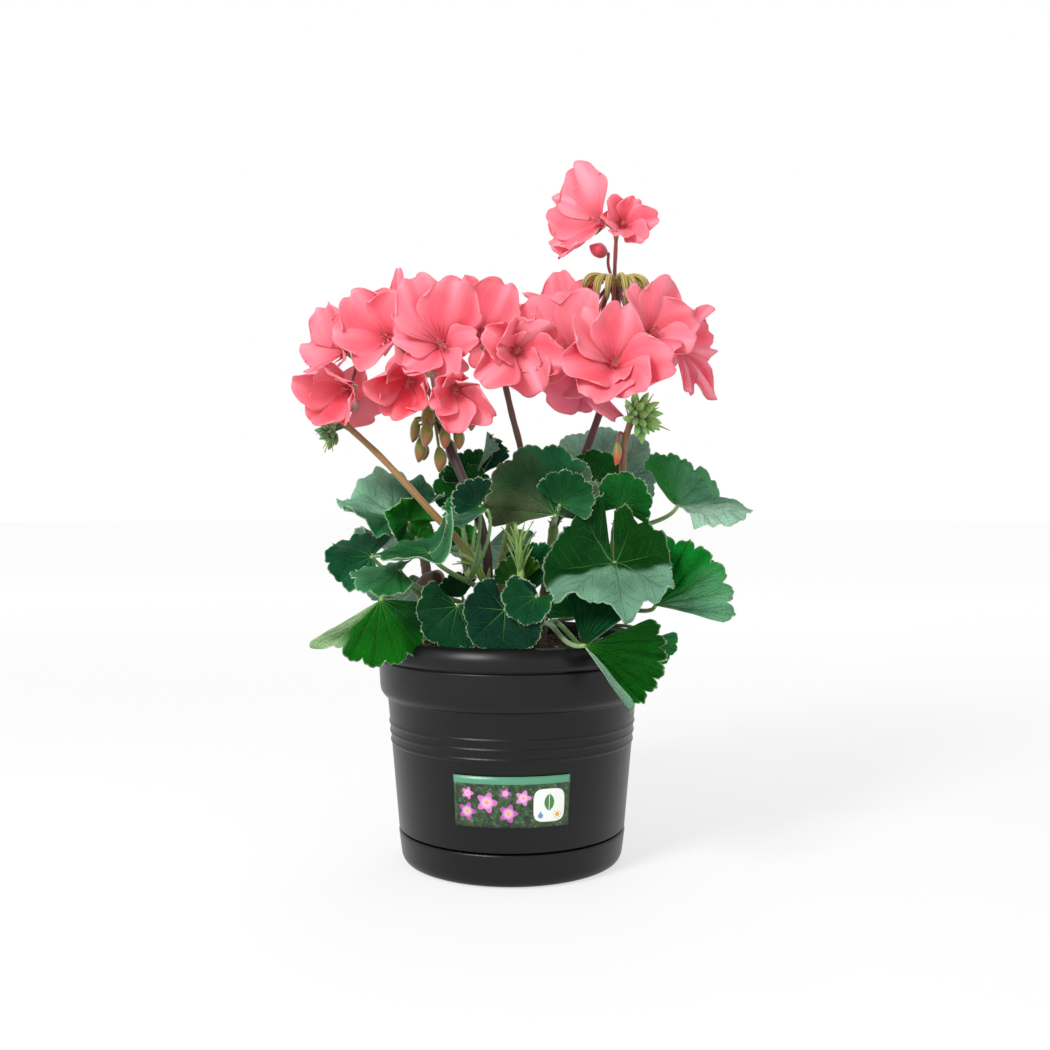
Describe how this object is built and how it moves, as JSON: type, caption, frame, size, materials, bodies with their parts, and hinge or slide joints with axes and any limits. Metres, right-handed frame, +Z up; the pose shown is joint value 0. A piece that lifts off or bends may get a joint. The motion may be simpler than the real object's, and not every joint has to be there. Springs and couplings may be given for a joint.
{
  "type": "potted geranium",
  "caption": "Flowering zonal geranium with rounded scalloped leaves and coral pink flower heads, growing in a round dark plastic pot on a low saucer.",
  "frame": {"origin": "centre of the saucer's flat underside, on the pot's axis", "axes": "+Z up along the pot's axis; -Y towards the viewer, the side with the label; +X to the viewer's right"},
  "size_m": [0.2581, 0.1898, 0.3886],
  "materials": {
    "dark_plastic": "satin",
    "potting_soil": "matte",
    "label_paper": "satin",
    "young_green": "matte",
    "woody_stem": "matte",
    "flower_stalk": "matte",
    "leaf": "matte",
    "petal": "matte",
    "red_bud": "matte",
    "green_bud": "matte",
    "spent_green": "matte"
  },
  "bodies": {
    "root": {"pot": "dark_plastic", "saucer": "dark_plastic", "soil": "potting_soil", "care_label": "label_paper", "stem_centre": "woody_stem", "stem_left": "woody_stem", "stem_mid": "woody_stem", "stem_right": "woody_stem", "young_shoot": "young_green", "stem_back": "woody_stem", "flower_stalk_left": "flower_stalk", "flower_stalk_centre_left": "flower_stalk", "flower_stalk_centre": "flower_stalk", "flower_stalk_right": "flower_stalk", "flower_stalk_far_right": "flower_stalk", "leaf_front_left": "leaf", "leaf_left_low": "leaf", "leaf_left_dark": "leaf", "leaf_left_folded": "leaf", "leaf_left_high": "leaf", "leaf_centre": "leaf", "leaf_behind_right": "leaf", "leaf_right_small_dark": "leaf", "leaf_right_small": "leaf", "leaf_right_high": "leaf", "leaf_right_folded": "leaf", "leaf_right_low": "leaf", "leaf_over_rim": "leaf", "leaf_under_right": "leaf", "leaf_front_centre_left": "leaf", "leaf_front_centre": "leaf", "leaf_back_left": "leaf", "leaf_back_right": "leaf", "leaf_far_right_back": "leaf", "leaf_far_left_back": "leaf", "floret_a": "petal", "floret_b": "petal", "floret_c": "petal", "floret_d": "petal", "floret_e": "petal", "floret_g": "petal", "floret_h": "petal", "floret_i": "petal", "floret_j": "petal", "floret_k": "petal", "floret_l": "petal", "floret_m": "petal", "floret_n": "petal", "floret_o": "petal", "floret_p": "petal", "floret_q": "petal", "floret_r": "petal", "floret_s": "petal", "floret_t": "petal", "floret_u": "petal", "buds_left": "green_bud", "buds_far_right": "green_bud", "buds_drooping": "green_bud", "bud_top": "red_bud", "spent_flowers": "spent_green"}
  },
  "joints": []
}
